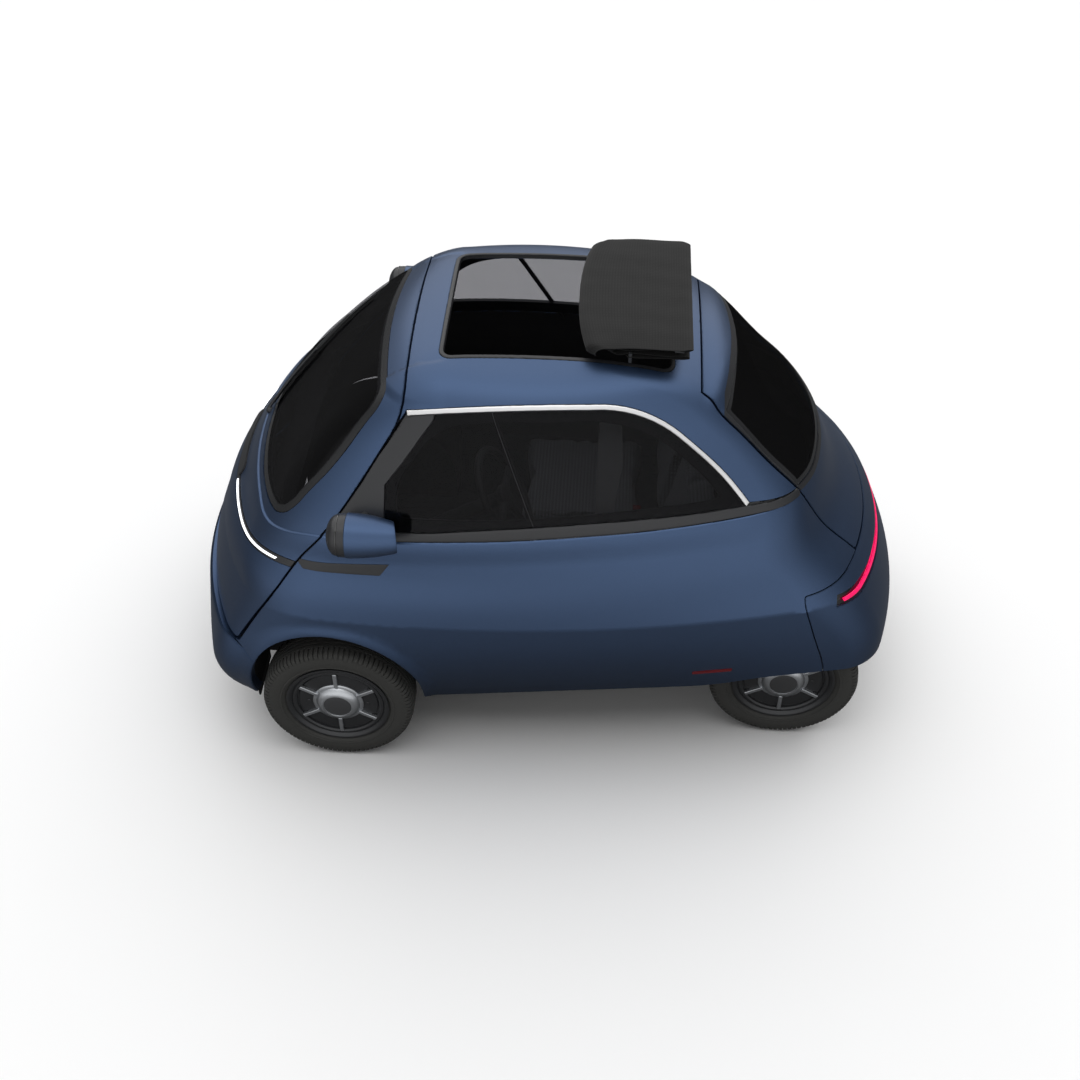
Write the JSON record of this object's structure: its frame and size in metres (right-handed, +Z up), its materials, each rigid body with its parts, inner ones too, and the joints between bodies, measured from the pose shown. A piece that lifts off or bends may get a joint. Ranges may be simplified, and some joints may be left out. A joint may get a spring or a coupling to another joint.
{
  "type": "microcar",
  "caption": "Egg-shaped two-seat electric microcar with a front-opening door, steering front wheels, an opening tailgate and a folded fabric roof.",
  "frame": {"origin": "on the ground, at the middle of the length and width", "axes": "+X towards the tail along the car's length, +Y to the car's right side, +Z up; the car faces -X"},
  "size_m": [2.5084, 1.564, 1.5559],
  "materials": {
    "body_paint": "matte metallic",
    "black_trim": "satin",
    "glass": "tinted",
    "chrome": "polished",
    "lamp_white": "clear lens",
    "lamp_red": "clear lens",
    "seat_fabric": "woven",
    "soft_top_fabric": "woven canvas",
    "floor_metal": "matte",
    "chassis_metal": "matte",
    "alloy": "satin",
    "tyre": "matte",
    "battery_case": "satin"
  },
  "bodies": {
    "car": {"body_shell": "body_paint", "front_bumper": "body_paint", "rear_bumper": "body_paint", "mirror_pod_left": "body_paint", "mirror_pod_right": "body_paint", "floor_pan": "floor_metal", "wheel_housing_left": "black_trim", "wheel_housing_right": "black_trim", "tail_light_bar": "lamp_red", "side_window_front_left": "glass", "side_window_front_right": "glass", "side_window_rear_left": "glass", "side_window_rear_right": "glass", "belt_trim_left": "black_trim", "belt_trim_right": "black_trim", "window_chrome_left": "chrome", "window_chrome_right": "chrome", "headlamp_left": "black_trim", "headlamp_right": "black_trim", "parcel_shelf": "black_trim", "soft_top": "soft_top_fabric", "seat_cushion": "seat_fabric", "seat_back": "seat_fabric", "battery_block": "battery_case", "motor_block": "chassis_metal", "steering_column": "black_trim", "front_suspension": "chassis_metal", "rear_axle": "chassis_metal"},
    "door": {"front_door": "body_paint", "door_dash": "black_trim", "windshield": "glass", "wiper": "black_trim", "front_light_bar": "lamp_white"},
    "hatch": {"hatch_panel": "body_paint", "rear_glass": "glass"},
    "steering_wheel_body": {"steering_wheel": "black_trim"},
    "knuckle_l": {"knuckle_left": "chassis_metal"},
    "knuckle_r": {"knuckle_right": "chassis_metal"},
    "wheel_fl": {"tyre_front_left": "tyre", "rim_front_left": "alloy"},
    "wheel_fr": {"tyre_front_right": "tyre", "rim_front_right": "alloy"},
    "wheel_rl": {"tyre_rear_left": "tyre", "rim_rear_left": "alloy"},
    "wheel_rr": {"tyre_rear_right": "tyre", "rim_rear_right": "alloy"}
  },
  "joints": [
    {"name": "steer_left", "type": "hinge", "parent": "car", "child": "knuckle_l", "pos_m": [-0.709, -0.615, 0.266], "axis": [0, 0, 1], "range_deg": [-30, 30]},
    {"name": "steer_right", "type": "hinge", "parent": "car", "child": "knuckle_r", "pos_m": [-0.709, 0.615, 0.266], "axis": [0, 0, 1], "range_deg": [-30, 30]},
    {"name": "steering_wheel_turn", "type": "hinge", "parent": "car", "child": "steering_wheel_body", "pos_m": [-0.15, -0.235, 0.85], "axis": [0.866, 0, 0.5], "range_deg": [-450, 450]},
    {"name": "spin_front_left", "type": "hinge", "parent": "knuckle_l", "child": "wheel_fl", "pos_m": [-0.709, -0.6485, 0.266], "axis": [0, 1, 0], "continuous": true},
    {"name": "spin_front_right", "type": "hinge", "parent": "knuckle_r", "child": "wheel_fr", "pos_m": [-0.709, 0.6485, 0.266], "axis": [0, 1, 0], "continuous": true},
    {"name": "spin_rear_left", "type": "hinge", "parent": "car", "child": "wheel_rl", "pos_m": [0.857, -0.4515, 0.266], "axis": [0, 1, 0], "continuous": true},
    {"name": "spin_rear_right", "type": "hinge", "parent": "car", "child": "wheel_rr", "pos_m": [0.857, 0.4515, 0.266], "axis": [0, 1, 0], "continuous": true},
    {"name": "door_hinge", "type": "hinge", "parent": "car", "child": "door", "pos_m": [-0.926, -0.7, 0.9], "axis": [0, 0, 1], "range_deg": [0, 75]},
    {"name": "hatch_hinge", "type": "hinge", "parent": "car", "child": "hatch", "pos_m": [0.486, 0, 1.442], "axis": [0, -1, 0], "range_deg": [0, 65]}
  ],
  "couplings": [
    {"joint": "steer_right", "follows": "steer_left", "ratio": 1},
    {"joint": "steering_wheel_turn", "follows": "steer_left", "ratio": 14}
  ]
}
